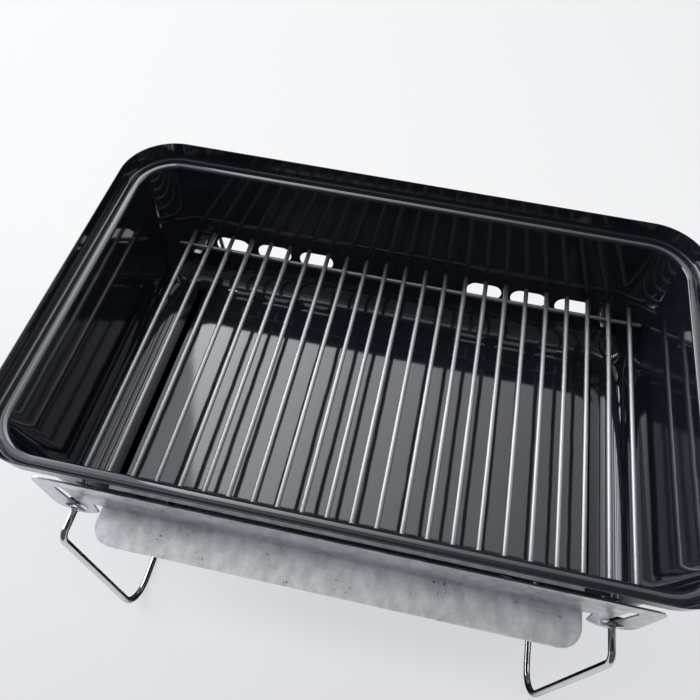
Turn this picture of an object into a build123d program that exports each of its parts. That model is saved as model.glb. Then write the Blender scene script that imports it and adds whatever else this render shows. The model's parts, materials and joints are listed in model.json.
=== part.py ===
from build123d import *
import math
import os

# Portable charcoal grill: an enamelled rectangular bowl on two folding wire legs,
# with a loose charcoal grate of parallel rods inside it.
# Millimetres. The origin is on the floor under the middle of the bowl,
# X runs along the bowl, Y from the front to the back, Z up.

# Bowl
RIM_LENGTH = 443.0
RIM_DEPTH = 285.0
RIM_CORNER = 40.0
RIM_WIDTH = 13.5
LIP_HEIGHT = 12.5
LIP_FLARE = 2.2
LEDGE_FALL = 0.4
BEAD_RADIUS = 3.6
BEAD_ROUND = 2.9
GROOVE_RADIUS = 2.0
LIP_EDGE_ROUND = 0.45
BOWL_DEPTH = 118.0
FLOOR_CORNER = 24.0
BASE_RADIUS = 20.0
WALL_DRAFT = 7.0
BOWL_SHEET = 1.0

# Air vents in the long walls
VENT_LENGTH = 29.0
VENT_HEIGHT = 15.3
VENT_PITCH = 36.9
VENT_GROUP_CENTRE = 109.0
VENTS_PER_GROUP = 3
VENT_BELOW_GRATE = 15.0

# Charcoal grate
ROD_DIAMETER = 3.6
ROD_PITCH = 16.5
ROD_COUNT = 23
ROD_LENGTH = 236.0
ROD_END_ROUND = 1.0
ROD_ABOVE_FLOOR = 48.0
CROSS_ROD_DIAMETER = 3.6
FRONT_CROSS_ROD_LENGTH = 374.0
REAR_CROSS_ROD_LENGTH = 384.0
FRONT_CROSS_ROD_INSET = 8.5
REAR_CROSS_ROD_INSET = 14.0
WELD_SINK = 0.2
GRATE_SHIFT = 5.5

# Brackets that the grate rests on
REST_WIDTH = 7.0
FRONT_REST_OVERHANG = 2.5
REAR_REST_OVERHANG = 6.3
REST_LEG = 16.0
REST_SHEET = 1.5
REST_BEND = 2.5
REST_TIP_ROUND = 1.5
REST_CENTRE = 169.5
REST_CLEARANCE = 0.15

# Rails along the long walls
RAIL_SHEET = 1.2
RAIL_GAP = 6.3
WEB_HEIGHT = 25.0
WEB_BELOW_GRATE = 2.0
FLANGE_WIDTH = 24.3
FLANGE_HALF_LENGTH = 154.3
FLANGE_BEND = 1.6
FLANGE_CORNER = 14.0

# Ears at the rail ends, measured from the leg pivot
EAR_TIP_REACH = 22.0
EAR_HEEL_REACH = 15.0
EAR_HEEL_DROP = 6.2
EAR_TOE_REACH = 4.6
EAR_TOE_DROP = 11.8
EAR_CUT_REACH = 14.3
EAR_CUT_DROP = 5.0
EAR_TIP_ROUND = 5.0
EAR_HEEL_ROUND = 10.0
EAR_TOE_ROUND = 8.0

# Slot in each ear, with the side seat that holds the standing leg
SLOT_TRAVEL = 26.8
SLOT_ANGLE = 72.6
SLOT_CLEARANCE = 0.6
SEAT_FROM_TOP = 24.1
SEAT_OFFSET = 2.7

# Brackets between the rails and the bowl
BRACKET_CENTRE = 118.0
BRACKET_WIDTH = 22.0
BRACKET_FOOT = 9.0
BRACKET_HEIGHT = 16.0
BRACKET_SHEET = 1.2

# Wire legs
WIRE_DIAMETER = 4.8
PIVOT_FROM_CENTRE = 175.6
PIVOT_BELOW_GRATE = 12.2
LEG_HALF_SPAN = 153.8
LEG_HEIGHT = 150.4
LEG_LEAN = 6.2
PIVOT_BEND = 6.0
FOOT_BEND = 25.0
WIRE_TAIL = 4.6
WING_SPAN = 14.0
WING_THICKNESS = 2.2
WING_CLEARANCE = 0.4
WING_TILT = 30.0

# Levels and places worked out from the values above
wire_radius = WIRE_DIAMETER / 2
foot_z = wire_radius
pivot_z = foot_z + LEG_HEIGHT
grate_z = pivot_z + PIVOT_BELOW_GRATE
floor_z = grate_z - ROD_ABOVE_FLOOR
rim_z = floor_z + BOWL_DEPTH
ledge_z = rim_z - LIP_HEIGHT
wall_top_z = ledge_z - BEAD_RADIUS
draft_slope = math.tan(math.radians(WALL_DRAFT))
wall_top_half_length = RIM_LENGTH / 2 - RIM_WIDTH
wall_top_half_depth = RIM_DEPTH / 2 - RIM_WIDTH
wall_top_corner = RIM_CORNER - RIM_WIDTH


def inner_half_depth(z):
    """Distance from the middle plane to the inside of a long wall at height z."""
    return wall_top_half_depth - (wall_top_z - z) * draft_slope


def inner_half_length(z):
    """Distance from the middle plane to the inside of an end wall at height z."""
    return wall_top_half_length - (wall_top_z - z) * draft_slope


def outer_half_depth(z):
    """Distance from the middle plane to the outside of a long wall at height z."""
    return inner_half_depth(z) + BOWL_SHEET


web_y = outer_half_depth(grate_z) + RAIL_GAP + RAIL_SHEET
web_back_y = web_y - RAIL_SHEET
flange_z = grate_z - WEB_BELOW_GRATE
web_top_z = flange_z + WEB_HEIGHT
cross_rod_z = grate_z - (ROD_DIAMETER + CROSS_ROD_DIAMETER) / 2 + WELD_SINK
front_cross_rod_y = ROD_LENGTH / 2 - FRONT_CROSS_ROD_INSET
rear_cross_rod_y = ROD_LENGTH / 2 - REAR_CROSS_ROD_INSET
rest_top_z = cross_rod_z - CROSS_ROD_DIAMETER / 2 - REST_CLEARANCE
front_rest_tip_y = front_cross_rod_y - FRONT_REST_OVERHANG
rear_rest_tip_y = rear_cross_rod_y - REAR_REST_OVERHANG
bracket_mid_z = (flange_z + web_top_z) / 2
slot_radius = wire_radius + SLOT_CLEARANCE

# The slot runs down towards the middle of the grill, and the seat lies on its outer side.
slot_run = math.cos(math.radians(SLOT_ANGLE))
slot_drop = math.sin(math.radians(SLOT_ANGLE))
slot_top_x = PIVOT_FROM_CENTRE + SEAT_FROM_TOP * slot_run - SEAT_OFFSET * slot_drop
slot_top_z = pivot_z + SEAT_FROM_TOP * slot_drop + SEAT_OFFSET * slot_run
slot_low_x = slot_top_x - SLOT_TRAVEL * slot_run
slot_low_z = slot_top_z - SLOT_TRAVEL * slot_drop

os.makedirs("parts", exist_ok=True)


def side_plane(x, side):
    """Cross-section plane at x, with its own X pointing out through the front or back wall."""
    return Plane(origin=(x, 0, 0), x_dir=(0, side, 0), z_dir=(side, 0, 0))


def save(builder, name):
    """Label a finished piece and write its file."""
    builder.part.label = name
    export_step(builder.part, "parts/" + name + ".step")


def make_tub(growth):
    """Solid of the drafted tub, grown sideways and downwards, from its floor to the wall top."""
    low_z = floor_z - growth
    with BuildPart() as tub:
        with BuildSketch(Plane.XY.offset(low_z)):
            RectangleRounded(
                2 * (inner_half_length(low_z) + growth),
                2 * (inner_half_depth(low_z) + growth),
                FLOOR_CORNER + growth,
            )
        with BuildSketch(Plane.XY.offset(wall_top_z)):
            RectangleRounded(
                2 * (wall_top_half_length + growth),
                2 * (wall_top_half_depth + growth),
                wall_top_corner + growth,
            )
        loft(ruled=True)
        fillet(tub.faces().sort_by(Axis.Z)[0].edges(), radius=BASE_RADIUS + growth)
    return tub.part


def make_rim():
    """Rolled rim: a bead over the wall, a flat ledge and an upstanding flared lip."""
    with BuildSketch(Plane.XY.offset(wall_top_z)) as opening:
        RectangleRounded(2 * wall_top_half_length, 2 * wall_top_half_depth, wall_top_corner)
    path = opening.sketch.faces()[0].outer_wire()
    start = path @ 0
    along = path % 0
    outward = along.cross(Vector(0, 0, 1))
    if outward.dot(start) < 0:
        outward = -outward
    across = Plane(origin=start, x_dir=outward, z_dir=outward.cross(Vector(0, 0, 1)))
    lip_top = RIM_WIDTH - BOWL_SHEET
    lip_foot = lip_top - LIP_FLARE
    with BuildPart() as rim:
        with BuildSketch(across) as section:
            with BuildLine():
                FilletPolyline(
                    (0, 0),
                    (BEAD_RADIUS * draft_slope, BEAD_RADIUS),
                    (lip_foot, BEAD_RADIUS - LEDGE_FALL),
                    (lip_top, BEAD_RADIUS + LIP_HEIGHT),
                    radius=[BEAD_ROUND, GROOVE_RADIUS],
                )
                offset(amount=BOWL_SHEET, side=Side.RIGHT)
            make_face()
            top_edge = section.edges().sort_by(Axis.Y)[-1]
            fillet(top_edge.vertices(), radius=LIP_EDGE_ROUND)
        sweep(path=path)
    return rim.part


def make_bowl():
    outside = make_tub(BOWL_SHEET)
    inside = make_tub(0)
    rim = make_rim()
    first_vent = VENT_GROUP_CENTRE - VENT_PITCH * (VENTS_PER_GROUP - 1) / 2
    with BuildPart() as bowl:
        add(outside)
        add(inside, mode=Mode.SUBTRACT)
        add(rim)
        with BuildSketch(Plane.XZ):
            for side in (-1, 1):
                for number in range(VENTS_PER_GROUP):
                    vent_x = side * (first_vent + number * VENT_PITCH)
                    with Locations((vent_x, grate_z - VENT_BELOW_GRATE)):
                        SlotOverall(VENT_LENGTH, VENT_HEIGHT)
        extrude(amount=RIM_DEPTH / 2, both=True, mode=Mode.SUBTRACT)
    save(bowl, "bowl")


def ear_corners(x_side):
    """Ear outline at one end of a rail, as (x, z) corners on the web's plane, tip first."""
    inner_x = x_side * (FLANGE_HALF_LENGTH - RAIL_SHEET)
    cut_x = x_side * (PIVOT_FROM_CENTRE - EAR_CUT_REACH)
    web_foot_z = flange_z - RAIL_SHEET
    return [
        (x_side * (PIVOT_FROM_CENTRE + EAR_TIP_REACH), web_top_z),
        (x_side * (PIVOT_FROM_CENTRE + EAR_HEEL_REACH), pivot_z - EAR_HEEL_DROP),
        (x_side * (PIVOT_FROM_CENTRE - EAR_TOE_REACH), pivot_z - EAR_TOE_DROP),
        (cut_x, pivot_z - EAR_CUT_DROP),
        (cut_x, web_foot_z),
        (inner_x, web_foot_z),
        (inner_x, web_top_z),
    ]


def make_rail(y_side, name):
    """Galvanised rail: an upright web, an outward flange and an ear at each end."""
    back_face = Plane(origin=(0, y_side * web_back_y, 0), x_dir=(1, 0, 0), z_dir=(0, -1, 0))
    with BuildPart() as rail:
        with BuildSketch(side_plane(0, y_side)):
            with BuildLine():
                FilletPolyline(
                    (web_y, web_top_z),
                    (web_y, flange_z),
                    (web_y + FLANGE_WIDTH, flange_z),
                    radius=FLANGE_BEND,
                )
                offset(amount=RAIL_SHEET, side=Side.RIGHT)
            make_face()
        extrude(amount=FLANGE_HALF_LENGTH, both=True)
        flange_tip = rail.faces().filter_by(Axis.Y).sort_by(Axis.Y)[-1 if y_side > 0 else 0]
        fillet(flange_tip.edges().filter_by(Axis.Z), radius=FLANGE_CORNER)
        with BuildSketch(back_face) as ears:
            for x_side in (-1, 1):
                corners = ear_corners(x_side)
                with BuildLine():
                    Polyline(*corners, close=True)
                make_face()
                rounds = (EAR_TIP_ROUND, EAR_HEEL_ROUND, EAR_TOE_ROUND)
                for (corner_x, corner_z), radius in zip(corners, rounds):
                    corner = Vector(corner_x, corner_z)
                    fillet(ears.vertices().sort_by_distance(corner)[0], radius=radius)
        extrude(amount=-y_side * RAIL_SHEET)
        with BuildSketch(back_face):
            for x_side in (-1, 1):
                slot_middle = (x_side * (slot_top_x + slot_low_x) / 2, (slot_top_z + slot_low_z) / 2)
                with Locations(slot_middle):
                    SlotCenterToCenter(SLOT_TRAVEL, 2 * slot_radius, rotation=x_side * SLOT_ANGLE)
                with Locations((x_side * PIVOT_FROM_CENTRE, pivot_z)):
                    Circle(slot_radius)
        extrude(amount=RAIL_SHEET, both=True, mode=Mode.SUBTRACT)
    save(rail, name)


def make_rail_bracket(x_side, y_side, name):
    """Hat-shaped bracket: its crown carries the web and its feet lie on the drafted wall."""
    low_z = bracket_mid_z - BRACKET_HEIGHT / 2
    high_z = bracket_mid_z + BRACKET_HEIGHT / 2
    low_wall = outer_half_depth(low_z)
    high_wall = outer_half_depth(high_z)
    section = side_plane(x_side * BRACKET_CENTRE, y_side)
    inside_y = web_back_y - BRACKET_SHEET
    with BuildPart() as bracket:
        with BuildSketch(section):
            Polygon(
                (low_wall, low_z), (web_back_y, low_z), (web_back_y, high_z), (high_wall, high_z),
                align=None,
            )
        extrude(amount=BRACKET_WIDTH / 2, both=True)
        with BuildSketch(section):
            Polygon(
                (low_wall, low_z),
                (low_wall + BRACKET_SHEET, low_z),
                (high_wall + BRACKET_SHEET, high_z),
                (high_wall, high_z),
                align=None,
            )
        extrude(amount=BRACKET_WIDTH / 2 + BRACKET_FOOT, both=True)
        with BuildSketch(section):
            Polygon(
                (low_wall - BRACKET_SHEET, low_z), (inside_y, low_z),
                (inside_y, high_z), (high_wall - BRACKET_SHEET, high_z),
                align=None,
            )
        extrude(amount=BRACKET_WIDTH / 2 - BRACKET_SHEET, both=True, mode=Mode.SUBTRACT)
    save(bracket, name)


def make_grate_rest(x_side, y_side, tip_y, name):
    """Bent tab on the inside of a long wall, with a shelf under the end of a cross rod."""
    low_z = rest_top_z - REST_LEG
    with BuildPart() as rest:
        with BuildSketch(side_plane(x_side * REST_CENTRE, y_side)):
            with BuildLine():
                FilletPolyline(
                    (inner_half_depth(low_z), low_z),
                    (inner_half_depth(rest_top_z), rest_top_z),
                    (tip_y, rest_top_z),
                    radius=REST_BEND,
                )
                offset(amount=REST_SHEET, side=Side.LEFT)
            make_face()
        extrude(amount=REST_WIDTH / 2, both=True)
        fillet(rest.edges().filter_by(Axis.Z), radius=REST_TIP_ROUND)
    save(rest, name)


def make_leg(x_side, name):
    """One wire bent into a wide loop, with flattened wings on both sides of each ear."""
    pivot_x = x_side * PIVOT_FROM_CENTRE
    foot_x = x_side * (PIVOT_FROM_CENTRE - LEG_HEIGHT * math.tan(math.radians(LEG_LEAN)))
    tail_y = web_back_y - WIRE_TAIL
    outer_wing_y = web_y + WING_CLEARANCE + WING_THICKNESS / 2
    inner_wing_y = web_back_y - WING_CLEARANCE - WING_THICKNESS / 2
    with BuildPart() as leg:
        with BuildLine() as centreline:
            FilletPolyline(
                (pivot_x, -tail_y, pivot_z),
                (pivot_x, -LEG_HALF_SPAN, pivot_z),
                (foot_x, -LEG_HALF_SPAN, foot_z),
                (foot_x, LEG_HALF_SPAN, foot_z),
                (pivot_x, LEG_HALF_SPAN, pivot_z),
                (pivot_x, tail_y, pivot_z),
                radius=[PIVOT_BEND, FOOT_BEND, FOOT_BEND, PIVOT_BEND],
            )
        with BuildSketch(Plane(origin=centreline.line @ 0, z_dir=centreline.line % 0)):
            Circle(wire_radius)
        sweep()
        for wing_y in (outer_wing_y, inner_wing_y, -inner_wing_y, -outer_wing_y):
            wing_plane = Plane(origin=(0, wing_y, 0), x_dir=(1, 0, 0), z_dir=(0, -1, 0))
            with BuildSketch(wing_plane):
                with Locations((pivot_x, pivot_z)):
                    SlotOverall(WING_SPAN, WIRE_DIAMETER, rotation=x_side * WING_TILT)
            extrude(amount=WING_THICKNESS / 2, both=True)
    save(leg, name)


def make_grate_rod(number):
    """One rod of the charcoal grate, running from front to back."""
    rod_x = GRATE_SHIFT + (number - (ROD_COUNT - 1) / 2) * ROD_PITCH
    with BuildPart() as rod:
        with BuildSketch(Plane.XZ.offset(-ROD_LENGTH / 2)):
            with Locations((rod_x, grate_z)):
                Circle(ROD_DIAMETER / 2)
        extrude(amount=ROD_LENGTH)
        fillet(rod.edges().filter_by(GeomType.CIRCLE), radius=ROD_END_ROUND)
    save(rod, "grate_rod_%02d" % (number + 1))


def make_cross_rod(rod_y, length, name):
    """Cross rod under the grate rods, with a shallow weld seat for each of them."""
    with BuildPart() as cross_rod:
        with BuildSketch(Plane.YZ.offset(GRATE_SHIFT)):
            with Locations((rod_y, cross_rod_z)):
                Circle(CROSS_ROD_DIAMETER / 2)
        extrude(amount=length / 2, both=True)
        fillet(cross_rod.edges().filter_by(GeomType.CIRCLE), radius=ROD_END_ROUND)
        with BuildSketch(Plane.XZ):
            with Locations((GRATE_SHIFT, grate_z)):
                with GridLocations(ROD_PITCH, 0, ROD_COUNT, 1):
                    Circle(ROD_DIAMETER / 2)
        extrude(amount=ROD_LENGTH / 2, both=True, mode=Mode.SUBTRACT)
    save(cross_rod, name)


make_bowl()
make_cross_rod(-front_cross_rod_y, FRONT_CROSS_ROD_LENGTH, "grate_cross_rod_front")
make_cross_rod(rear_cross_rod_y, REAR_CROSS_ROD_LENGTH, "grate_cross_rod_rear")
for y_side, y_name, tip_y in ((-1, "front", front_rest_tip_y), (1, "rear", rear_rest_tip_y)):
    make_rail(y_side, y_name + "_rail")
    for x_side, x_name in ((-1, "left"), (1, "right")):
        make_rail_bracket(x_side, y_side, "rail_bracket_" + y_name + "_" + x_name)
        make_grate_rest(x_side, y_side, tip_y, "grate_rest_" + y_name + "_" + x_name)
make_leg(-1, "left_leg")
make_leg(1, "right_leg")
for rod_number in range(ROD_COUNT):
    make_grate_rod(rod_number)
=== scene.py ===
import json
import math
import bmesh
import bpy
from mathutils import Matrix, Vector
from mathutils.geometry import tessellate_polygon


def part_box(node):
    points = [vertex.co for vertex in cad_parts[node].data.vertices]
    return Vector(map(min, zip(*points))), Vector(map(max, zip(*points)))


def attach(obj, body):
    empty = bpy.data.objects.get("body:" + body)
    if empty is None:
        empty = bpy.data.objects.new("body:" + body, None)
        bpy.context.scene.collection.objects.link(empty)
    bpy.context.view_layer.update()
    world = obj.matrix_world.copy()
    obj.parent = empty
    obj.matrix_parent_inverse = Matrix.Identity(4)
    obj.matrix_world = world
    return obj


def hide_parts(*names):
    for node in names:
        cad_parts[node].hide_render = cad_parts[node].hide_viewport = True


# Portable charcoal grill: the surfaces and finishes of its pieces.
# Metres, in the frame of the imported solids. The origin is on the floor under the middle
# of the bowl, X runs along the bowl, Y from the front to the back, Z up.

MM = 0.001

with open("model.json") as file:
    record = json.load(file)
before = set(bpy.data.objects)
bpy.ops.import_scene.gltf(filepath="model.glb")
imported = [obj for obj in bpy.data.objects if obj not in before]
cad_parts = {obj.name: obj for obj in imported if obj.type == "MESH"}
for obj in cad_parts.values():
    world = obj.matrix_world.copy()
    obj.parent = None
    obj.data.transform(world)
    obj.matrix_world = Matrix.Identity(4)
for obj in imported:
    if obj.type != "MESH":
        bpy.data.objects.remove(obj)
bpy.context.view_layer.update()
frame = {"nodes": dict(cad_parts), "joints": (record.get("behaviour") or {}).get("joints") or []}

# Bowl: the inside of its cross-section, from the flat floor to the lip
SHEET = 1.0 * MM
WALL_DRAFT = 7.0
RIM_WIDTH = 13.4 * MM
RIM_HEIGHT = 16.1 * MM
BASE_RADIUS = 20.0 * MM
FLOOR_CORNER = 24.0 * MM
TOP_CORNER = 26.5 * MM
PANEL_SLOPE = 6.0
PANEL_RADIUS = 57.0 * MM
EDGE_RADIUS = 2.3 * MM
CROWN_RADIUS = 10.0 * MM
CROWN_ANGLE = 19.0
EDGE_START = 1.17 * MM
GROOVE_RADIUS = 1.7 * MM
LIP_ANGLE = 80.0
CORNER_STEPS = 24
ROUND_EDGE_STEPS = 6
ARC_STEP = 5.0

# Air vents in the long walls
VENT_LENGTH = 29.0 * MM
VENT_HEIGHT = 15.3 * MM
VENT_PITCH = 36.9 * MM
VENT_GROUP_CENTRE = 109.0 * MM
VENTS_PER_GROUP = 3
VENT_Z = 150.0 * MM
VENT_BAND = 12.0 * MM
VENT_END_STEPS = 16

# Charcoal grate
ROD_RADIUS = 1.8 * MM
ROD_END_ROUND = 1.0 * MM
ROD_END_STEPS = 4
ROD_COUNT = 23
ROD_SIDES = 20
ROD_SHIFT = 0.3 * MM
ROD_SHIFT_SEED = 7
WELD_SIZE = (2.9 * MM, 3.4 * MM, 1.5 * MM)

# Wire legs
WIRE_RADIUS = 2.4 * MM
WIRE_TAIL = 4.6 * MM
WIRE_END_ROUND = 1.2 * MM
WIRE_END_STEPS = 3
WIRE_SPACING = 0.25 * MM
FOOT_BEND = 25.0 * MM
PIVOT_BEND = 6.0 * MM
WIRE_SIDES = 36
BEND_STEPS = 16
WING_SPAN = 14.0 * MM
WING_DEPTH = 4.0 * MM
WING_THICKNESS = 2.2 * MM
WING_TILT = 30.0
WING_GAP = 0.4 * MM
WING_FADE_REACH = 1.6
WING_FADE_POWER = 6
RAIL_SHEET = 1.2 * MM

# Sheet edges of the rails, brackets and grate rests
SHEET_EDGE = 0.25 * MM
SHEET_EDGE_STEPS = 3
MERGE_DISTANCE = 0.002 * MM
FLAT_ANGLE = math.radians(0.5)
SHARP_ANGLE = math.radians(35)

# Where the finishes change: at the bowl's drawn corners, and where painted shade darkens the rods
# towards their ends
DRAWN_CORNER_X = 150.0 * MM
DRAWN_CORNER_Y = 75.0 * MM
DRAWN_CORNER_FADE = 50.0 * MM
ROD_END_PAINTED_SHADE = (95.0 * MM, 118.0 * MM)

# Cards that light the grill: one plane above it, cut into patches
CARD_HEIGHT = 1.5
CARD_RIGHT = 0.9
CARD_FRONT = 0.38
CARD_REAR = 1.25
MAIN_FRONT_LEFT = (-0.49, CARD_FRONT)
MAIN_REAR_LEFT = (-0.78, CARD_REAR)

# Floor: its half size, and the bounds of the painted shadow under the grill, beyond which its mirrored
# glow sets in
FLOOR_REACH = 8.0
SHADOW_FOOTPRINT_X = (0.22, 0.30)
SHADOW_FOOTPRINT_Y = (0.145, 0.185)

# Camera
FOCAL_PIXELS = 701.957
IMAGE_SIZE = 700
SENSOR_WIDTH = 36.0
CAMERA_PLACE = (0.0238, -0.2770, 0.5992)
CAMERA_YAW = math.radians(-8.8554)
CAMERA_PITCH = math.radians(54.7958)
CAMERA_ROLL = math.radians(-3.6200)


def link(piece):
    bpy.context.scene.collection.objects.link(piece)
    return piece


class Term:
    """A number socket that takes part in Python arithmetic."""

    def __init__(self, tree, socket):
        self.tree = tree
        self.socket = socket

    def combine(self, operation, first, second):
        made = self.tree.node("ShaderNodeMath", {"operation": operation}, {0: first, 1: second})
        return Term(self.tree, made.outputs[0])

    def __add__(self, other):
        return self.combine("ADD", self, other)

    def __radd__(self, other):
        return self.combine("ADD", other, self)

    def __sub__(self, other):
        return self.combine("SUBTRACT", self, other)

    def __rsub__(self, other):
        return self.combine("SUBTRACT", other, self)

    def __mul__(self, other):
        return self.combine("MULTIPLY", self, other)

    def __rmul__(self, other):
        return self.combine("MULTIPLY", other, self)

    def size(self):
        return self.combine("ABSOLUTE", self, 0.0)

    def least(self, other):
        return self.combine("MINIMUM", self, other)

    def greatest(self, other):
        return self.combine("MAXIMUM", self, other)

    def ease(self, low, high):
        """0 below low, 1 above high and a smooth step between them."""
        made = self.tree.node(
            "ShaderNodeMapRange",
            {"interpolation_type": "SMOOTHSTEP"},
            {"Value": self, "From Min": low, "From Max": high},
        )
        return Term(self.tree, made.outputs["Result"])


class Tree:
    """A node tree with one method that makes any node."""

    def __init__(self, tree):
        self.tree = tree

    def node(self, kind, settings=None, inputs=None):
        made = self.tree.nodes.new(kind)
        for key, value in (settings or {}).items():
            setattr(made, key, value)
        for key, value in (inputs or {}).items():
            if isinstance(value, Term):
                value = value.socket
            if isinstance(value, bpy.types.NodeSocket):
                self.tree.links.new(value, made.inputs[key])
            else:
                made.inputs[key].default_value = value
        return made


class Finish(Tree):
    """A material whose patterns read the piece's own coordinates."""

    def __init__(self, name):
        self.material = bpy.data.materials.new(name)
        self.material.use_nodes = True
        super().__init__(self.material.node_tree)
        self.tree.nodes.clear()
        self.place = self.node("ShaderNodeTexCoord").outputs["Object"]

    def axis(self, name):
        split = self.node("ShaderNodeSeparateXYZ", None, {"Vector": self.place})
        return Term(self, split.outputs[name])

    def stretched(self, x, y, z):
        made = self.node("ShaderNodeMapping", None, {"Vector": self.place, "Scale": (x, y, z)})
        return made.outputs["Vector"]

    def noise(self, scale, detail=2.0, place=None):
        inputs = {"Vector": place or self.place, "Scale": scale, "Detail": detail}
        made = self.node("ShaderNodeTexNoise", None, inputs)
        return Term(self, made.outputs["Fac"])

    def cells(self, scale, place=None):
        made = self.node("ShaderNodeTexVoronoi", None, {"Vector": place or self.place, "Scale": scale})
        grey = self.node("ShaderNodeSeparateColor", None, {"Color": made.outputs["Color"]})
        return Term(self, grey.outputs["Red"])

    def mix(self, factor, first, second):
        """Blend of two colours, each an RGB triple or a socket."""
        first, second = ((*c, 1.0) if isinstance(c, tuple) else c for c in (first, second))
        made = self.node("ShaderNodeMix", {"data_type": "RGBA"}, {0: factor, 6: first, 7: second})
        return made.outputs[2]

    def bump(self, height, distance, normal=None):
        inputs = {"Height": height, "Distance": distance, "Strength": 1.0}
        if normal is not None:
            inputs["Normal"] = normal
        return self.node("ShaderNodeBump", None, inputs).outputs["Normal"]

    def surface(self, inputs):
        shader = self.node("ShaderNodeBsdfPrincipled", None, inputs)
        self.node("ShaderNodeOutputMaterial", None, {"Surface": shader.outputs["BSDF"]})
        return self.material


def black_enamel():
    """Glossy fired enamel: faint orange peel, and slow waves that grow at the drawn corners."""
    finish = Finish("black_enamel")
    past_x = (finish.axis("X").size() - DRAWN_CORNER_X).ease(0.0, DRAWN_CORNER_FADE)
    past_y = (finish.axis("Y").size() - DRAWN_CORNER_Y).ease(0.0, DRAWN_CORNER_FADE)
    corner = past_x * past_y
    waves = finish.noise(34.0, 1.0, finish.stretched(1.0, 1.0, 0.55))
    ripples = finish.noise(110.0, 2.0, finish.stretched(1.0, 1.0, 0.4))
    peel = finish.noise(750.0, 1.0)
    height = waves * 0.00011 + ripples * corner * 0.00010 + peel * 0.0000035
    tone = finish.noise(9.0, 3.0)
    return finish.surface({
        "Base Color": finish.mix(tone, (0.0050, 0.0062, 0.0100), (0.0075, 0.0088, 0.0130)),
        "Roughness": tone * 0.03 + 0.045,
        "IOR": 1.8,
        "Normal": finish.bump(height, 1.0),
    })


def aluminised_sheet():
    """Coated steel sheet, half matt: cloudy mottling and small spangles with faint rolling marks."""
    finish = Finish("aluminised_sheet")
    spangle = finish.cells(620.0)
    cloud = finish.noise(130.0, 5.0, finish.stretched(1.0, 0.6, 1.0)).ease(0.36, 0.64)
    rolled = finish.noise(900.0, 3.0, finish.stretched(0.03, 1.0, 1.0))
    tone = cloud * 0.60 + spangle * 0.22 + rolled * 0.18
    sheet = finish.mix(tone, (0.58, 0.59, 0.61), (0.86, 0.87, 0.90))
    return finish.surface({
        "Base Color": sheet,
        "Metallic": 0.6,
        "Roughness": tone * 0.14 + 0.26,
        "Normal": finish.bump(cloud + rolled, 0.000008),
    })


def chromed_wire():
    """Bright plated wire with faint drawing marks."""
    finish = Finish("chromed_wire")
    marks = finish.noise(700.0, 2.0, finish.stretched(1.0, 0.12, 0.3))
    haze = finish.noise(45.0, 3.0)
    return finish.surface({
        "Base Color": finish.mix(haze, (0.62, 0.63, 0.65), (0.74, 0.75, 0.77)),
        "Metallic": 1.0,
        "Roughness": haze * 0.08 + 0.10,
        "Normal": finish.bump(marks, 0.000010),
    })


def plated_rod():
    """Satin plated rod: fine marks along its length, and painted shade that darkens it towards the ends.
    """
    finish = Finish("plated_rod")
    marks = finish.noise(900.0, 3.0, finish.stretched(1.0, 0.035, 1.0))
    haze = finish.noise(30.0, 3.0)
    # Painted shade: the rod's colour darkens towards its ends, where they run near the bowl walls.
    ends = finish.axis("Y").size().ease(*ROD_END_PAINTED_SHADE)
    bright = finish.mix(haze, (0.46, 0.46, 0.46), (0.53, 0.53, 0.52))
    return finish.surface({
        "Base Color": finish.mix(ends * 0.6, bright, (0.30, 0.30, 0.31)),
        "Metallic": 1.0,
        "Roughness": marks * 0.08 + haze * 0.06 + 0.40,
        "Normal": finish.bump(marks, 0.000014),
    })


def bracket_steel():
    """Plated strip with short scratches."""
    finish = Finish("bracket_steel")
    marks = finish.noise(800.0, 3.0, finish.stretched(0.1, 1.0, 1.0))
    return finish.surface({
        "Base Color": finish.mix(marks, (0.48, 0.48, 0.49), (0.66, 0.66, 0.67)),
        "Metallic": 1.0,
        "Roughness": marks * 0.15 + 0.18,
        "Normal": finish.bump(marks, 0.00001),
    })


class Skin:
    """Points with their own normals, and the faces between them."""

    def __init__(self):
        self.points = []
        self.normals = []
        self.faces = []

    def add(self, point, normal):
        self.points.append(Vector(point))
        self.normals.append(Vector(normal).normalized())
        return len(self.points) - 1

    def join(self, low, high):
        """Quads between two rows of points."""
        for first in range(len(low) - 1):
            self.faces.append((low[first], high[first], high[first + 1], low[first + 1]))

    def fill(self, loops, flat):
        """Triangles over a flat outline with holes. flat gives a point's two coordinates in it."""
        outlines = [[Vector((*flat(self.points[index]), 0.0)) for index in loop] for loop in loops]
        indices = [index for loop in loops for index in loop]
        for corners in tessellate_polygon(outlines):
            face = [indices[corner] for corner in corners]
            first, second, third = (self.points[index] for index in face)
            if (second - first).cross(third - first).dot(self.normals[face[0]]) < 0:
                face.reverse()
            self.faces.append(face)

    def piece(self, name, material):
        mesh = bpy.data.meshes.new(name)
        mesh.from_pydata(self.points, [], self.faces)
        mesh.polygons.foreach_set("use_smooth", [True] * len(mesh.polygons))
        mesh.normals_split_custom_set_from_vertices(self.normals)
        mesh.materials.append(material)
        return link(bpy.data.objects.new(name, mesh))


class Section:
    """A cross-section drawn step by step: distance outwards, height and heading in degrees."""

    def __init__(self, out, up, heading):
        self.out = out
        self.up = up
        self.heading = heading
        self.stations = []
        self.mark()

    def mark(self):
        self.stations.append((self.out, self.up, self.heading + 90.0))

    def move(self, length, heading):
        self.out += length * math.cos(math.radians(heading))
        self.up += length * math.sin(math.radians(heading))

    def turn(self, radius, angle):
        steps = math.ceil(abs(angle) / ARC_STEP)
        step = angle / steps
        for _ in range(steps):
            self.move(2 * radius * math.sin(math.radians(abs(step)) / 2), self.heading + step / 2)
            self.heading += step
            self.mark()

    def rise(self, height):
        """Straight on, up to a height."""
        self.move((height - self.up) / math.sin(math.radians(self.heading)), self.heading)
        self.mark()


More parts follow.
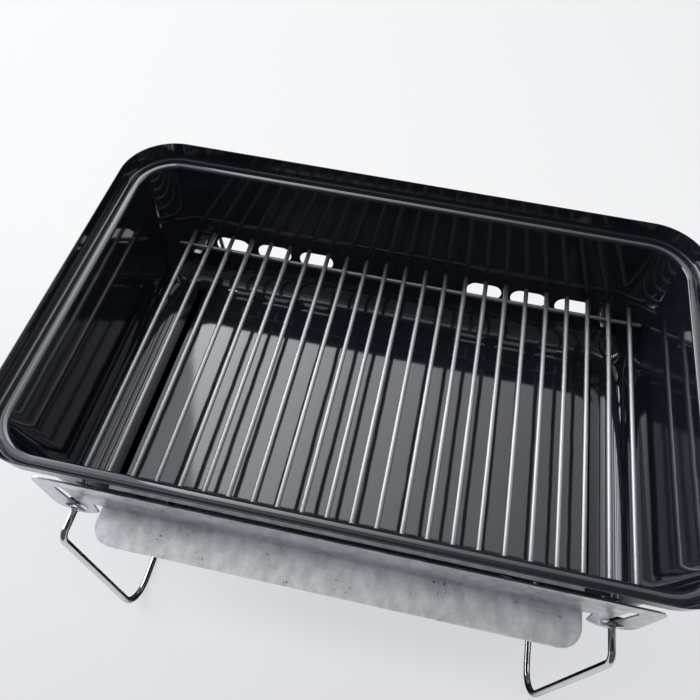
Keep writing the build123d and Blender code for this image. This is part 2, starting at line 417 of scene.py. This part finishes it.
bowl_low, bowl_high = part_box("bowl")
top_half_length = bowl_high.x - RIM_WIDTH
top_half_depth = bowl_high.y - RIM_WIDTH
wall_top_z = bowl_high.z - RIM_HEIGHT
bowl_floor_z = bowl_low.z + SHEET
draft_slope = math.tan(math.radians(WALL_DRAFT))
wall_heading = 90.0 - WALL_DRAFT


def wall_out(z):
    """How far the inside of the wall stands out from the wall top, which is less than 0 below it."""
    return min(z - wall_top_z, 0.0) * draft_slope


def bowl_section():
    """Stations round the bowl's cross-section: up its inside, over the lip and down its outside."""
    panel_run = 2 * PANEL_RADIUS * math.sin(math.radians(PANEL_SLOPE))
    panel_rise = 2 * PANEL_RADIUS * (1 - math.cos(math.radians(PANEL_SLOPE)))
    base_out = wall_out(bowl_floor_z + BASE_RADIUS) - BASE_RADIUS / math.cos(math.radians(WALL_DRAFT))
    section = Section(base_out - panel_run, bowl_floor_z + panel_rise, 0.0)
    section.turn(PANEL_RADIUS, -PANEL_SLOPE)
    section.turn(PANEL_RADIUS, PANEL_SLOPE)
    section.turn(BASE_RADIUS, wall_heading)
    section.rise(VENT_Z - VENT_BAND)
    section.rise(VENT_Z + VENT_BAND)
    section.rise(wall_top_z + EDGE_START)
    section.turn(EDGE_RADIUS, CROWN_ANGLE - wall_heading)
    section.turn(CROWN_RADIUS, -2 * CROWN_ANGLE)
    section.turn(GROOVE_RADIUS, CROWN_ANGLE + LIP_ANGLE)
    section.rise(wall_top_z + RIM_HEIGHT - SHEET / 2)
    inside = list(section.stations)
    outside = []
    for out, up, angle in inside:
        facing = math.radians(angle)
        outside.append((out - SHEET * math.cos(facing), up - SHEET * math.sin(facing), angle - 180.0))
    outside.reverse()
    return inside + lip_edge(inside[-1]) + outside


def lip_edge(last):
    """Half round over the edge of the lip."""
    out, up, angle = last
    facing = math.radians(angle)
    middle_out = out - SHEET / 2 * math.cos(facing)
    middle_up = up - SHEET / 2 * math.sin(facing)
    edge = []
    for step in range(1, ROUND_EDGE_STEPS):
        turned = angle - 180.0 * step / ROUND_EDGE_STEPS
        facing = math.radians(turned)
        edge.append((
            middle_out + SHEET / 2 * math.cos(facing),
            middle_up + SHEET / 2 * math.sin(facing),
            turned,
        ))
    return edge


def bowl_ring(skin, station):
    """Points of one station round the bowl, anticlockwise from the front right corner."""
    out, up, angle = station
    share = min((up - bowl_floor_z) / (wall_top_z - bowl_floor_z), 1.0)
    corner = FLOOR_CORNER + (TOP_CORNER - FLOOR_CORNER) * share + out - wall_out(up)
    half_x = top_half_length + out - corner
    half_y = top_half_depth + out - corner
    facing = math.radians(angle)
    ring = []
    for x_side, y_side, start in ((1, -1, -90), (1, 1, 0), (-1, 1, 90), (-1, -1, 180)):
        for step in range(CORNER_STEPS + 1):
            turn = math.radians(start + 90 * step / CORNER_STEPS)
            along = Vector((math.cos(turn), math.sin(turn), 0.0))
            point = Vector((x_side * half_x, y_side * half_y, up)) + corner * along
            ring.append(skin.add(point, along * math.cos(facing) + Vector((0, 0, math.sin(facing)))))
    return ring


def vent_loops(skin, vent_x, y_side):
    """Rows of points round the rounded edge of one vent, from the inside of the wall to the outside."""
    up_wall = Vector((0.0, y_side * draft_slope, 1.0)).normalized()
    inward = Vector((0.0, -y_side, draft_slope)).normalized()
    loops = []
    for level in range(ROUND_EDGE_STEPS + 1):
        turn = math.radians(90 - 180 * level / ROUND_EDGE_STEPS)
        grown = VENT_HEIGHT / 2 + SHEET / 2 * (1 - math.cos(turn))
        depth = SHEET / 2 * (1 - math.sin(turn))
        loop = []
        for end in (1, -1):
            for step in range(VENT_END_STEPS + 1):
                round_turn = math.radians(90 * (1 - end) - 90 + 180 * step / VENT_END_STEPS)
                away = Vector((1, 0, 0)) * math.cos(round_turn) + up_wall * math.sin(round_turn)
                x = vent_x + end * (VENT_LENGTH - VENT_HEIGHT) / 2
                centre = Vector((x, y_side * (top_half_depth + wall_out(VENT_Z)), VENT_Z))
                point = centre + away * grown - inward * depth
                loop.append(skin.add(point, inward * math.sin(turn) - away * math.cos(turn)))
        loops.append(loop)
    return loops


def black_bowl(enamel):
    """The bowl as one skin: rings round its cross-section, and flat long walls with their vents."""
    skin = Skin()
    rings = [bowl_ring(skin, station) for station in bowl_section()]
    per_corner = CORNER_STEPS + 1
    long_walls = {1: 2 * per_corner - 1, -1: 4 * per_corner - 1}
    vents = {
        y_side: [
            vent_loops(skin, x_side * (VENT_GROUP_CENTRE + VENT_PITCH * (number - 1)), y_side)
            for x_side in (-1, 1)
            for number in range(VENTS_PER_GROUP)
        ]
        for y_side in long_walls
    }
    for low, high in zip(rings, rings[1:]):
        heights = [skin.points[ring[0]].z for ring in (low, high)]
        vent_band = abs(heights[1] - heights[0]) > VENT_BAND and abs(sum(heights) / 2 - VENT_Z) < MM
        if not vent_band:
            skin.join(low + low[:1], high + high[:1])
            continue
        outer = skin.normals[low[0]].y < 0
        for y_side, last in long_walls.items():
            next_corner = (last + 1) % len(low)
            border = [low[last], low[next_corner], high[next_corner], high[last]]
            edges = [loops[-1 if outer else 0] for loops in vents[y_side]]
            skin.fill([border] + edges, lambda point: (point.x, point.z))
        for start, end in ((0, long_walls[1]), (long_walls[1] + 1, long_walls[-1])):
            skin.join(low[start:end + 1], high[start:end + 1])
    for loops in vents[1] + vents[-1]:
        for inner, outer_loop in zip(loops, loops[1:]):
            face_vent_edge(skin, inner + inner[:1], outer_loop + outer_loop[:1])
    front, rear = floor_rows(rings[0])
    skin.join(rear, front)
    front, rear = floor_rows(rings[-1])
    skin.join(front, rear)
    return skin.piece("black_bowl", enamel)


def floor_rows(ring):
    """Front and rear half of a ring, both from left to right."""
    front_left = 3 * (CORNER_STEPS + 1)
    rear_right = CORNER_STEPS + 1
    return ring[front_left:] + ring[:rear_right], ring[rear_right:front_left][::-1]


def face_vent_edge(skin, low, high):
    """Quads over one step of a vent's rounded edge, turned to face the same way as its normals."""
    count = len(skin.faces)
    skin.join(low, high)
    for number in range(count, len(skin.faces)):
        face = list(skin.faces[number])
        first, second, third = (skin.points[index] for index in face[:3])
        if (second - first).cross(third - first).dot(skin.normals[face[0]]) < 0:
            face.reverse()
        skin.faces[number] = face


class Recipe(Tree):
    """A geometry tree with named inputs for its sizes, run once on a source mesh."""

    def __init__(self, name, sizes):
        super().__init__(bpy.data.node_groups.new(name, "GeometryNodeTree"))
        self.sizes = sizes
        face = self.tree.interface
        face.new_socket("Geometry", in_out="INPUT", socket_type="NodeSocketGeometry")
        for key, value in sizes.items():
            kind = "NodeSocketInt" if isinstance(value, int) else "NodeSocketFloat"
            face.new_socket(key, in_out="INPUT", socket_type=kind)
        face.new_socket("Geometry", in_out="OUTPUT", socket_type="NodeSocketGeometry")
        self.start = self.tree.nodes.new("NodeGroupInput")

    def source(self):
        return self.start.outputs["Geometry"]

    def given(self, key):
        return Term(self, self.start.outputs[key])

    def attribute(self, name):
        read = self.node("GeometryNodeInputNamedAttribute", {"data_type": "FLOAT"}, {"Name": name})
        return Term(self, read.outputs["Attribute"])

    def vector(self, x, y, z):
        made = self.node("ShaderNodeCombineXYZ", None, {"X": x, "Y": y, "Z": z})
        return made.outputs["Vector"]

    def tube(self, curve, radius, sides):
        """Round wire along a curve, as thick at each point as its girth says."""
        sizes = {"Resolution": sides, "Radius": radius}
        ring = self.node("GeometryNodeCurvePrimitiveCircle", None, sizes)
        inputs = {
            "Curve": curve,
            "Profile Curve": ring.outputs["Curve"],
            "Scale": self.attribute("girth"),
            "Fill Caps": True,
        }
        return self.node("GeometryNodeCurveToMesh", None, inputs).outputs["Mesh"]

    def repeat(self, shape, points, scale=None):
        inputs = {"Points": points, "Instance": shape}
        if scale is not None:
            inputs["Scale"] = scale
        return self.node("GeometryNodeInstanceOnPoints", None, inputs).outputs["Instances"]

    def join(self, parts):
        made = self.tree.nodes.new("GeometryNodeJoinGeometry")
        for part in parts:
            self.tree.links.new(part, made.inputs[0])
        return made.outputs[0]

    def run(self, name, source, shape, material):
        """The finished piece: real geometry with its material, as a plain mesh."""
        real = self.node("GeometryNodeRealizeInstances", None, {"Geometry": shape})
        smooth = self.node("GeometryNodeSetShadeSmooth", None, {"Geometry": real.outputs["Geometry"]})
        inputs = {"Geometry": smooth.outputs["Geometry"], "Material": material}
        finished = self.node("GeometryNodeSetMaterial", None, inputs)
        end = self.tree.nodes.new("NodeGroupOutput")
        self.tree.links.new(finished.outputs["Geometry"], end.inputs[0])
        holder = link(bpy.data.objects.new(name + "_source", source))
        modifier = holder.modifiers.new("shape", "NODES")
        modifier.node_group = self.tree
        for item in self.tree.interface.items_tree:
            if item.in_out == "INPUT" and item.name in self.sizes:
                modifier[item.identifier] = self.sizes[item.name]
        piece = link(bpy.data.objects.new(name, plain_mesh(holder)))
        bpy.data.objects.remove(holder)
        return piece


def plain_mesh(holder):
    """The object's mesh with its modifiers worked in."""
    graph = bpy.context.evaluated_depsgraph_get()
    return bpy.data.meshes.new_from_object(holder.evaluated_get(graph), depsgraph=graph)


def path_mesh(name, chains, numbers):
    """Open chains of points joined by edges, with a number of each kind for every point."""
    points = [point for chain in chains for point in chain]
    edges = []
    first = 0
    for chain in chains:
        edges += [(first + step, first + step + 1) for step in range(len(chain) - 1)]
        first += len(chain)
    mesh = bpy.data.meshes.new(name)
    mesh.from_pydata(points, edges, [])
    for key, values in numbers.items():
        mesh.attributes.new(key, "FLOAT", "POINT").data.foreach_set("value", values)
    return mesh


def rounded_ends(length, radius, end_round):
    """Places along a rod centred on 0, and its girth at each, with rounded ends."""
    ends = []
    for step in range(ROD_END_STEPS + 1):
        turn = math.radians(90 * step / ROD_END_STEPS)
        girth = (radius - end_round + end_round * math.sin(turn)) / radius
        ends.append((end_round * (1 - math.cos(turn)), girth))
    places = [(-length / 2 + inset, girth) for inset, girth in ends]
    return places + [(-place, girth) for place, girth in reversed(places)]


def steel_grate():
    """Charcoal grate: parallel rods welded on top of two cross rods."""
    first_low, first_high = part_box("grate_rod_01")
    last_low, last_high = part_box("grate_rod_%02d" % ROD_COUNT)
    rear_low, rear_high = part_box("grate_cross_rod_rear")
    front_low, front_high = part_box("grate_cross_rod_front")
    first_x = (first_low.x + first_high.x) / 2
    last_x = (last_low.x + last_high.x) / 2
    rod_z = (first_low.z + first_high.z) / 2
    cross_z = (rear_low.z + rear_high.z) / 2
    front_share = (front_high.x - front_low.x) / (rear_high.x - rear_low.x)
    rod = rounded_ends(first_high.y - first_low.y, ROD_RADIUS, ROD_END_ROUND)
    cross = rounded_ends(rear_high.x - rear_low.x, ROD_RADIUS, ROD_END_ROUND)
    source = path_mesh(
        "grate_paths",
        [[(0, place, 0) for place, _ in rod], [(place, 0, 0) for place, _ in cross]],
        {
            "girth": [girth for _, girth in rod + cross],
            "cross": [0.0] * len(rod) + [1.0] * len(cross),
        },
    )
    recipe = Recipe("welded_rods", {
        "Rods": ROD_COUNT,
        "First X": first_x,
        "Pitch": (last_x - first_x) / (ROD_COUNT - 1),
        "Rod Z": rod_z,
        "Front Y": (front_low.y + front_high.y) / 2,
        "Front Share": front_share,
        "Rear Y": (rear_low.y + rear_high.y) / 2,
        "Cross Z": cross_z,
        "Middle X": (first_x + last_x) / 2,
        "Radius": ROD_RADIUS,
        "Shift": ROD_SHIFT,
    })
    apart = recipe.node(
        "GeometryNodeSeparateGeometry",
        {"domain": "POINT"},
        {"Geometry": recipe.source(), "Selection": recipe.attribute("cross")},
    )
    tubes = []
    for part in ("Inverted", "Selection"):
        curve = recipe.node("GeometryNodeMeshToCurve", None, {"Mesh": apart.outputs[part]})
        tubes.append(recipe.tube(curve.outputs["Curve"], recipe.given("Radius"), ROD_SIDES))
    rod_tube, cross_tube = tubes
    offset = recipe.vector(recipe.given("Pitch"), 0.0, 0.0)
    parts = []
    seats = recipe.node("GeometryNodeMeshLine", None, {
        "Count": recipe.given("Rods"),
        "Start Location": recipe.vector(recipe.given("First X"), 0.0, recipe.given("Rod Z")),
        "Offset": offset,
    })
    uneven = recipe.node("FunctionNodeRandomValue", {"data_type": "FLOAT"}, {"Seed": ROD_SHIFT_SEED})
    shift = (Term(recipe, uneven.outputs[1]) - 0.5) * recipe.given("Shift")
    moved = recipe.node("GeometryNodeSetPosition", None, {
        "Geometry": seats.outputs["Mesh"],
        "Offset": recipe.vector(0.0, shift, 0.0),
    })
    parts.append(recipe.repeat(rod_tube, moved.outputs["Geometry"]))
    ball = recipe.node("GeometryNodeMeshIcoSphere", None, {"Radius": 0.5, "Subdivisions": 2})
    front_row = (recipe.given("Front Y"), recipe.given("Front Share"))
    rear_row = (recipe.given("Rear Y"), 1.0)
    for row_y, share in (front_row, rear_row):
        place = recipe.vector(recipe.given("Middle X"), row_y, recipe.given("Cross Z"))
        bar = recipe.node("GeometryNodeTransform", None, {
            "Geometry": cross_tube,
            "Translation": place,
            "Scale": recipe.vector(share, 1.0, 1.0),
        })
        parts.append(bar.outputs["Geometry"])
        weld_z = (recipe.given("Cross Z") + recipe.given("Rod Z")) * 0.5
        row = recipe.node("GeometryNodeMeshLine", None, {
            "Count": recipe.given("Rods"),
            "Start Location": recipe.vector(recipe.given("First X"), row_y, weld_z),
            "Offset": offset,
        })
        parts.append(recipe.repeat(ball.outputs["Mesh"], row.outputs["Mesh"], WELD_SIZE))
    return recipe.run("steel_grate", source, recipe.join(parts), plated_rod())


def press_wings(mesh, joint, rows):
    """Flattens the round wire into two wings, each a thin lobe across the wire."""
    across = Vector((math.cos(joint["tilt"]), 0.0, math.sin(joint["tilt"])))
    along = Vector((-across.z, 0.0, across.x))
    for vertex in mesh.vertices:
        offset = vertex.co - joint["centre"]
        for row in rows:
            reach = abs(abs(vertex.co.y) - row) / (WING_THICKNESS / 2)
            if reach < WING_FADE_REACH and abs(offset.x) < WING_SPAN and abs(offset.z) < WING_SPAN:
                share = 1.0 / (1.0 + reach ** WING_FADE_POWER)
                wide = offset.dot(across) * (1 + (WING_SPAN / 2 / WIRE_RADIUS - 1) * share)
                deep = offset.dot(along) * (1 + (WING_DEPTH / 2 / WIRE_RADIUS - 1) * share)
                placed = joint["centre"] + across * wide + along * deep
                vertex.co = Vector((placed.x, vertex.co.y, placed.z))


def folding_leg(name, x_side, material):
    """One wire bent into a wide loop, with wings on both sides of each ear."""
    fold = next(joint for joint in frame["joints"] if joint["child"] == name)
    low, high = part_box(name)
    web_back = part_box("rear_rail")[0].y
    pivot_x, pivot_z = fold["pos_m"][0], fold["pos_m"][2]
    half_span = high.y - WIRE_RADIUS
    foot_x = low.x + WIRE_RADIUS if x_side > 0 else high.x - WIRE_RADIUS
    foot_z = low.z + WIRE_RADIUS
    inner_wing = web_back - WING_GAP - WING_THICKNESS / 2
    outer_wing = web_back + RAIL_SHEET + WING_GAP + WING_THICKNESS / 2
    tail_y = web_back - WIRE_TAIL
    end = []
    for step in range(WIRE_END_STEPS + 1):
        turn = math.radians(90 * step / WIRE_END_STEPS)
        end.append((tail_y + WIRE_END_ROUND * (1 - math.cos(turn)),
                    (WIRE_RADIUS - WIRE_END_ROUND * (1 - math.sin(turn))) / WIRE_RADIUS))
    count = int((half_span - PIVOT_BEND - MM - end[-1][0]) / WIRE_SPACING)
    tail = end + [(end[-1][0] + WIRE_SPACING * step, 1.0) for step in range(1, count)]
    near = [((pivot_x, -y, pivot_z), girth, 0.0) for y, girth in tail]
    far = [((pivot_x, y, pivot_z), girth, 0.0) for y, girth in reversed(tail)]
    loop = [
        ((pivot_x, -half_span, pivot_z), 1.0, PIVOT_BEND),
        ((foot_x, -half_span, foot_z), 1.0, FOOT_BEND),
        ((foot_x, half_span, foot_z), 1.0, FOOT_BEND),
        ((pivot_x, half_span, pivot_z), 1.0, PIVOT_BEND),
    ]
    route = near + loop + far
    source = path_mesh(
        name + "_path",
        [[place for place, _, _ in route]],
        {"girth": [girth for _, girth, _ in route], "bend": [bend for _, _, bend in route]},
    )
    sizes = {"Radius": WIRE_RADIUS, "Sides": WIRE_SIDES, "Bend Steps": BEND_STEPS}
    recipe = Recipe(name + "_wire", sizes)
    curve = recipe.node("GeometryNodeMeshToCurve", None, {"Mesh": recipe.source()})
    bent = recipe.node("GeometryNodeFilletCurve", {"mode": "POLY"}, {
        "Curve": curve.outputs["Curve"],
        "Count": recipe.given("Bend Steps"),
        "Radius": recipe.attribute("bend"),
    })
    wire = recipe.tube(bent.outputs["Curve"], recipe.given("Radius"), recipe.given("Sides"))
    piece = recipe.run(name + "_bent_wire", source, wire, material)
    centre = Vector((pivot_x, 0.0, pivot_z))
    joint = {"centre": centre, "tilt": math.radians(x_side * WING_TILT)}
    press_wings(piece.data, joint, (inner_wing, outer_wing))
    return piece


def dressed_copy(name, node, material):
    """Copy of a sheet piece with merged faces and softened edges."""
    mesh = frame["nodes"][node].data.copy()
    work = bmesh.new()
    work.from_mesh(mesh)
    bmesh.ops.remove_doubles(work, verts=work.verts, dist=MERGE_DISTANCE)
    bmesh.ops.dissolve_limit(work, angle_limit=FLAT_ANGLE, verts=work.verts, edges=work.edges)
    work.to_mesh(mesh)
    work.free()
    mesh.materials.clear()
    mesh.materials.append(material)
    mesh.polygons.foreach_set("use_smooth", [True] * len(mesh.polygons))
    holder = link(bpy.data.objects.new(name + "_source", mesh))
    bevel = holder.modifiers.new("edges", "BEVEL")
    bevel.width = SHEET_EDGE
    bevel.segments = SHEET_EDGE_STEPS
    bevel.limit_method = "ANGLE"
    bevel.angle_limit = SHARP_ANGLE
    bevel.harden_normals = True
    piece = link(bpy.data.objects.new(name, plain_mesh(holder)))
    bpy.data.objects.remove(holder)
    return piece


def place_piece(piece, body, slot, *nodes):
    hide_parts(*nodes)
    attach(piece, body)


def camera():
    """Camera at the photograph's viewing angle."""
    data = bpy.data.cameras.new("camera")
    data.sensor_width = SENSOR_WIDTH
    data.lens = SENSOR_WIDTH * FOCAL_PIXELS / IMAGE_SIZE
    data.clip_start = 0.01
    ahead = Vector((
        math.sin(CAMERA_YAW) * math.cos(CAMERA_PITCH),
        math.cos(CAMERA_YAW) * math.cos(CAMERA_PITCH),
        -math.sin(CAMERA_PITCH),
    ))
    level_right = Vector((math.cos(CAMERA_YAW), -math.sin(CAMERA_YAW), 0.0))
    level_down = ahead.cross(level_right)
    right = level_right * math.cos(CAMERA_ROLL) + level_down * math.sin(CAMERA_ROLL)
    down = level_down * math.cos(CAMERA_ROLL) - level_right * math.sin(CAMERA_ROLL)
    turned = Matrix((right, -down, -ahead)).transposed().to_4x4()
    holder = link(bpy.data.objects.new("camera", data))
    holder.matrix_world = Matrix.Translation(CAMERA_PLACE) @ turned
    bpy.context.scene.camera = holder


def glow_card(name, corners, tint, strength):
    """Glowing card above the grill, out of the camera's sight. strength gives its light at x and y."""
    mesh = bpy.data.meshes.new(name)
    mesh.from_pydata([(x, y, CARD_HEIGHT) for x, y in corners], [], [range(len(corners))])
    finish = Finish(name)
    light = strength(finish.axis("X"), finish.axis("Y"))
    glow = finish.node("ShaderNodeEmission", None, {"Color": (*tint, 1.0), "Strength": light})
    finish.node("ShaderNodeOutputMaterial", None, {"Surface": glow.outputs[0]})
    mesh.materials.append(finish.material)
    card = link(bpy.data.objects.new(name, mesh))
    card.visible_camera = False
    return card


def softboxes():
    """Soft cards behind and over the grill, and one that lights only matt surfaces."""

    def main_light(x, y):
        near_left = ((0.75 - x) * (1 / 1.3)).greatest(0.0)
        return (near_left * near_left * 3.2 + 0.85) * (y * 0.5 + 0.65)

    def side_light(x, y):
        return (0 - x - 0.7).ease(0.0, 1.4) * 4.8 + 1.6

    def top_light(x, y):
        return (0.55 - x).greatest(0.0) * 0.62 + 0.12

    def right_light(x, y):
        return (x - CARD_RIGHT).ease(1.0, 1.9) * (-0.6) + 1.4

    def fill_light(x, y):
        return (CARD_RIGHT - x) * 3.5 + 7.0

    cool, cooler, coolest = (0.95, 0.97, 1.0), (0.92, 0.96, 1.0), (0.84, 0.92, 1.0)
    front_right, rear_right = (CARD_RIGHT, CARD_FRONT), (CARD_RIGHT, CARD_REAR)
    main_corners = [MAIN_FRONT_LEFT, front_right, rear_right, MAIN_REAR_LEFT]
    far_left = [(-1.2, 2.6), (-8.0, 6.0), (-8.0, 0.2), (-1.2, 0.25)]
    right_corners = [front_right, (2.8, 0.7), (2.8, 2.8), rear_right]
    top_corners = [(-1.2, -0.1), (CARD_RIGHT, -0.1), (CARD_RIGHT, 0.37), (-1.2, 0.24)]
    fill_corners = [(-1.3, -0.42), (0.8, -0.42), (0.8, -0.12), (-1.3, -0.12)]
    glow_card("main_card", main_corners, cool, main_light)
    glow_card("side_card", [MAIN_FRONT_LEFT, MAIN_REAR_LEFT] + far_left, coolest, side_light)
    glow_card("right_card", right_corners, cool, right_light)
    glow_card("top_card", top_corners, cooler, top_light)
    glow_card("fill_card", fill_corners, (1.0, 1.0, 1.0), fill_light).visible_glossy = False


def pale_floor():
    """White floor that glows for the camera, and in mirrors too except under the grill, where mirrors
    see a painted shadow; its glow is painted dimmer towards the front.
    """
    corners = [(x * FLOOR_REACH, y * FLOOR_REACH, 0) for x, y in ((-1, -1), (1, -1), (1, 1), (-1, 1))]
    mesh = bpy.data.meshes.new("studio_floor")
    mesh.from_pydata(corners, [], [(0, 1, 2, 3)])
    finish = Finish("floor_white")
    rays = finish.node("ShaderNodeLightPath").outputs
    direct, mirrored, through = (
        Term(finish, rays[kind]) for kind in ("Is Camera Ray", "Is Glossy Ray", "Is Transmission Ray")
    )
    # Painted shadow: under the grill the floor turns near black and stops glowing for mirrored rays.
    beside = finish.axis("X").size().ease(*SHADOW_FOOTPRINT_X)
    before = finish.axis("Y").size().ease(*SHADOW_FOOTPRINT_Y)
    clear = beside.greatest(before)
    share = direct.greatest(through) * 0.84 + mirrored * clear * 0.80
    floor_paint_with_painted_shadow = finish.mix((1.0 - clear) * mirrored, (0.85, 0.86, 0.87), (0.02, 0.02, 0.02))
    # Painted falloff of light: the floor's glow dims towards the front.
    far = finish.axis("Y").ease(-0.35, 0.25)
    tint = finish.mix(far, (0.68, 0.69, 0.71), (0.85, 0.85, 0.85))
    paint = finish.node("ShaderNodeBsdfDiffuse", None, {"Color": floor_paint_with_painted_shadow})
    glow = finish.node("ShaderNodeEmission", None, {"Color": tint, "Strength": 1.0})
    mixed = finish.node("ShaderNodeMixShader", None, {0: share, 1: paint.outputs[0], 2: glow.outputs[0]})
    finish.node("ShaderNodeOutputMaterial", None, {"Surface": mixed.outputs[0]})
    mesh.materials.append(finish.material)
    link(bpy.data.objects.new("studio_floor", mesh))


def dim_room():
    """Dim blue room around the cards, pale where the camera sees it."""
    world = bpy.data.worlds.new("studio")
    bpy.context.scene.world = world
    world.use_nodes = True
    air = Tree(world.node_tree)
    air.tree.nodes.clear()
    rays = air.node("ShaderNodeLightPath")
    dim = air.node("ShaderNodeBackground", None, {"Color": (0.70, 0.78, 0.92, 1.0), "Strength": 0.12})
    pale = air.node("ShaderNodeBackground", None, {"Color": (0.90, 0.91, 0.92, 1.0), "Strength": 1.0})
    shares = {0: rays.outputs["Is Camera Ray"], 1: dim.outputs[0], 2: pale.outputs[0]}
    both = air.node("ShaderNodeMixShader", None, shares)
    air.node("ShaderNodeOutputWorld", None, {"Surface": both.outputs[0]})


camera()
pale_floor()
dim_room()
softboxes()
wire_finish = chromed_wire()
sheet_finish = aluminised_sheet()
strip_finish = bracket_steel()
enamel_finish = black_enamel()
grate_nodes = ["grate_cross_rod_front", "grate_cross_rod_rear"]
grate_nodes += ["grate_rod_%02d" % (number + 1) for number in range(ROD_COUNT)]
place_piece(black_bowl(enamel_finish), "bowl_frame", "black_enamel", "bowl")
place_piece(steel_grate(), "charcoal_grate", "plated_rod", *grate_nodes)
for leg_name, leg_side in (("left_leg", -1), ("right_leg", 1)):
    place_piece(folding_leg(leg_name, leg_side, wire_finish), leg_name, "chromed_wire", leg_name)
for y_name in ("front", "rear"):
    rail = y_name + "_rail"
    sheet = dressed_copy(rail + "_sheet", rail, sheet_finish)
    place_piece(sheet, "bowl_frame", "aluminised_sheet", rail)
    for x_name in ("left", "right"):
        bracket = "rail_bracket_" + y_name + "_" + x_name
        strip = dressed_copy(bracket + "_strip", bracket, enamel_finish)
        place_piece(strip, "bowl_frame", "black_enamel", bracket)
        rest = "grate_rest_" + y_name + "_" + x_name
        strip = dressed_copy(rest + "_strip", rest, strip_finish)
        place_piece(strip, "bowl_frame", "bracket_steel", rest)

view = bpy.context.scene.view_settings
view.view_transform = "Standard"
